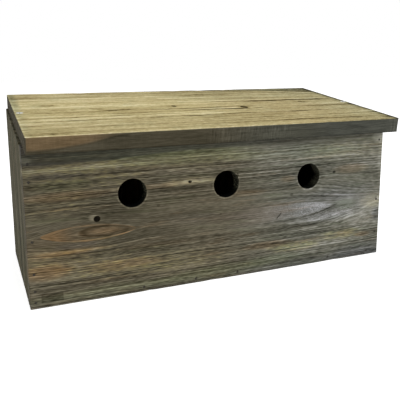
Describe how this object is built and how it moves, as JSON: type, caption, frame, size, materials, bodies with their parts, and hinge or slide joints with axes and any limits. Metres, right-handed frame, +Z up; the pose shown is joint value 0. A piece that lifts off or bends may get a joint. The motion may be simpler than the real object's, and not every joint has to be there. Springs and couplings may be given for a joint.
{
  "type": "sparrow terrace nest box",
  "caption": "Long low wooden nest box: nest chambers side by side behind round entrance holes, under one sloping board roof that is screwed down, with holes behind for wall screws.",
  "frame": {"origin": "middle of the base, on the face that the box stands on", "axes": "+Z up, the entrance holes face -Y, +X to the right of someone who looks at the holes"},
  "size_m": [0.45, 0.225, 0.2134],
  "materials": {
    "roof_wood": "sawn pine under a thin green-grey wash",
    "front_wood": "rough sawn pine, grey-brown stain, matt",
    "back_wood": "rough sawn pine, grey-brown stain, matt",
    "side_wood": "rough sawn pine, grey-green stain, matt",
    "inner_wood": "rough sawn pine, thin stain, matt",
    "screw_steel": "bright zinc",
    "nail_steel": "dark, stained over"
  },
  "bodies": {
    "box": {"front_board": "front_wood", "back_board": "back_wood", "side_left": "side_wood", "side_right": "side_wood", "floor_board": "inner_wood", "partition_left": "inner_wood", "partition_right": "inner_wood", "front_nails_left": "nail_steel", "front_nails_right": "nail_steel", "front_nails_floor": "nail_steel", "back_nails_left": "nail_steel", "back_nails_right": "nail_steel", "back_nails_floor": "nail_steel", "side_nails_left": "nail_steel", "side_nails_right": "nail_steel", "partition_nails_back": "nail_steel", "partition_nails_floor": "nail_steel"},
    "lid": {"roof": "roof_wood"},
    "screw_left": {"roof_screw_left": "screw_steel"},
    "screw_right": {"roof_screw_right": "screw_steel"}
  },
  "joints": [
    {"name": "roof_lift", "type": "slide", "parent": "box", "child": "lid", "axis": [0, -0.1219, 0.9925], "range_m": [0, 0.12]},
    {"name": "screw_left_out", "type": "slide", "parent": "lid", "child": "screw_left", "axis": [0, -0.1219, 0.9925], "range_m": [0, 0.05]},
    {"name": "screw_right_out", "type": "slide", "parent": "lid", "child": "screw_right", "axis": [0, -0.1219, 0.9925], "range_m": [0, 0.05]}
  ]
}
